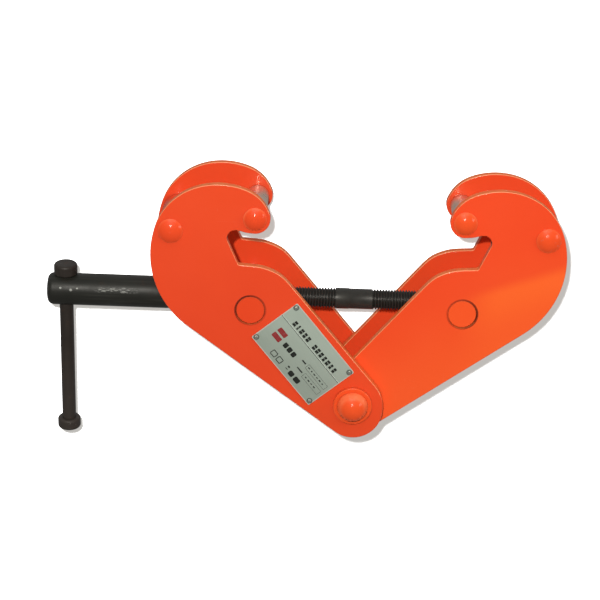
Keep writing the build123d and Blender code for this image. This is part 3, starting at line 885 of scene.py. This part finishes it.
# what each light reaches: the paper, the whole product, or all but its blackened parts
stage_only = bpy.data.collections.new("lit_stage")
object_only = bpy.data.collections.new("lit_object")
painted_only = bpy.data.collections.new("lit_paint")
for paper in (wall, floor):
    stage_only.objects.link(paper)
blackened = {SHANK.name, THREAD.name, HANDLE.name}
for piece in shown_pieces():
    object_only.objects.link(piece)
    if not any(slot and slot.name in blackened for slot in piece.data.materials):
        painted_only.objects.link(piece)

# -------------------------------------------------------------------- camera
CAMERA_PLACE = Vector((-0.047206, -1.542656, 0.626172))
CAMERA_RIGHT = Vector((0.9993781, 0.01267327, 0.03290584))
CAMERA_UP = Vector((-0.03524814, 0.33290902, 0.94229993))
CAMERA_AHEAD = Vector((-0.00098738, 0.94287379, -0.33314869))

camera_data = bpy.data.cameras.new("camera")
camera = bpy.data.objects.new("camera", camera_data)
scene.collection.objects.link(camera)
turned = Matrix((CAMERA_RIGHT, CAMERA_UP, -CAMERA_AHEAD)).transposed()
camera.matrix_world = Matrix.Translation(CAMERA_PLACE) @ turned.to_4x4()
camera_data.sensor_width = 36.0
camera_data.lens = 112.14
camera_data.clip_start, camera_data.clip_end = 0.05, 30.0
scene.camera = camera

# -------------------------------------------------------------------- lights
CENTRE = Vector((-0.05, -0.01, 0.065))


def around_camera(up, left, distance):
    """A point seen from the object at these angles, in degrees, above and left of the camera."""
    way = ((CAMERA_PLACE - CENTRE).normalized() + CAMERA_UP * math.tan(math.radians(up))
           - CAMERA_RIGHT * math.tan(math.radians(left)))
    return CENTRE + way.normalized() * distance


def area_light(name, place, target, colour, size, power, only, size_y=None):
    """A disk, or a rectangle when size_y is given, aimed at target."""
    data = bpy.data.lights.new(name, "AREA")
    data.energy = power
    data.color = colour
    data.shape = "RECTANGLE" if size_y else "DISK"
    data.size = size
    if size_y:
        data.size_y = size_y
    light = bpy.data.objects.new(name, data)
    light.location = place
    scene.collection.objects.link(light)
    light.rotation_mode = "QUATERNION"
    light.rotation_quaternion = (Vector(target) - light.location).to_track_quat("-Z", "Y")
    light.light_linking.receiver_collection = only
    return light


# light on the paper only, beside the camera: it makes the shadow
paper_data = bpy.data.lights.new("paper_light", "POINT")
paper_data.energy = 1500.0
paper_data.shadow_soft_size = 0.036
paper_light = bpy.data.objects.new("paper_light", paper_data)
paper_light.location = CAMERA_PLACE - CAMERA_RIGHT * 0.080 + CAMERA_UP * 0.092
scene.collection.objects.link(paper_light)
paper_light.light_linking.receiver_collection = stage_only

gloss = area_light("key_gloss", around_camera(up=9.5, left=3.5, distance=2.6), CENTRE,
                   (1.0, 0.96, 0.88), size=0.50, power=27.0, only=object_only)
gloss.visible_diffuse = False
# the flash beside the camera: one light for the colour of the surfaces, one for their shine
flash = area_light("flash_light", around_camera(up=4.8, left=4.0, distance=1.9), CENTRE,
                   (1.0, 0.985, 0.96), size=0.055, power=29.3, only=object_only)
flash.visible_glossy = False
shine = area_light("flash_shine", around_camera(up=3.0, left=4.0, distance=1.65), CENTRE,
                   (1.0, 0.98, 0.95), size=0.10, power=1.6, only=object_only)
shine.visible_diffuse = False
area_light("top_light", (-0.05, -0.40, 1.25), (-0.05, 0.0, 0.10), (1.0, 0.93, 0.82),
           size=1.1, size_y=0.5, power=3.2, only=painted_only)
area_light("side_light", (1.15, -0.55, 0.50), (0.0, 0.0, 0.08), (1.0, 0.90, 0.76),
           size=0.45, power=3.2, only=painted_only)
back = area_light("back_light", (0.25, 1.75, 0.06), (-0.05, 0.0, 0.08), (1.0, 0.99, 0.98),
                  size=0.7, power=14.0, only=object_only)
back.visible_glossy = False


# --------------------------------------------------------------------- world
def build_world():
    """Plain white to the camera; to the product, dim and brighter above and behind."""
    world = bpy.data.worlds.new("studio")
    scene.world = world
    tree = blank_tree(world)

    def output(kind, inputs=(), **settings):
        return new_node(tree, kind, inputs, **settings).outputs[0]

    def glow(source, over, strength):
        return output("ShaderNodeMapRange", [source, *over, 0.0, strength],
                      interpolation_type="SMOOTHSTEP")

    direction = new_node(tree, "ShaderNodeTexCoord").outputs["Generated"]
    parts = new_node(tree, "ShaderNodeSeparateXYZ", [direction]).outputs
    above = glow(parts[2], over=(0.10, 0.85), strength=0.12)
    behind = glow(parts[1], over=(-0.25, 0.75), strength=0.16)
    both = output("ShaderNodeMath", [above, behind], operation="ADD")
    strength = output("ShaderNodeMath", [both, 0.13], operation="ADD")
    ambient = output("ShaderNodeBackground",
                     {"Color": (1.0, 0.99, 0.975), "Strength": strength})
    white = output("ShaderNodeBackground", {"Color": (1.0, 1.0, 1.0), "Strength": 1.05})
    seen = new_node(tree, "ShaderNodeLightPath").outputs["Is Camera Ray"]
    sky = output("ShaderNodeMixShader", [seen, ambient, white])
    new_node(tree, "ShaderNodeOutputWorld", [sky])


build_world()

scene.view_settings.view_transform = "Standard"
scene.view_settings.look = "None"
scene.view_settings.exposure = 0.0
scene.view_settings.gamma = 1.0
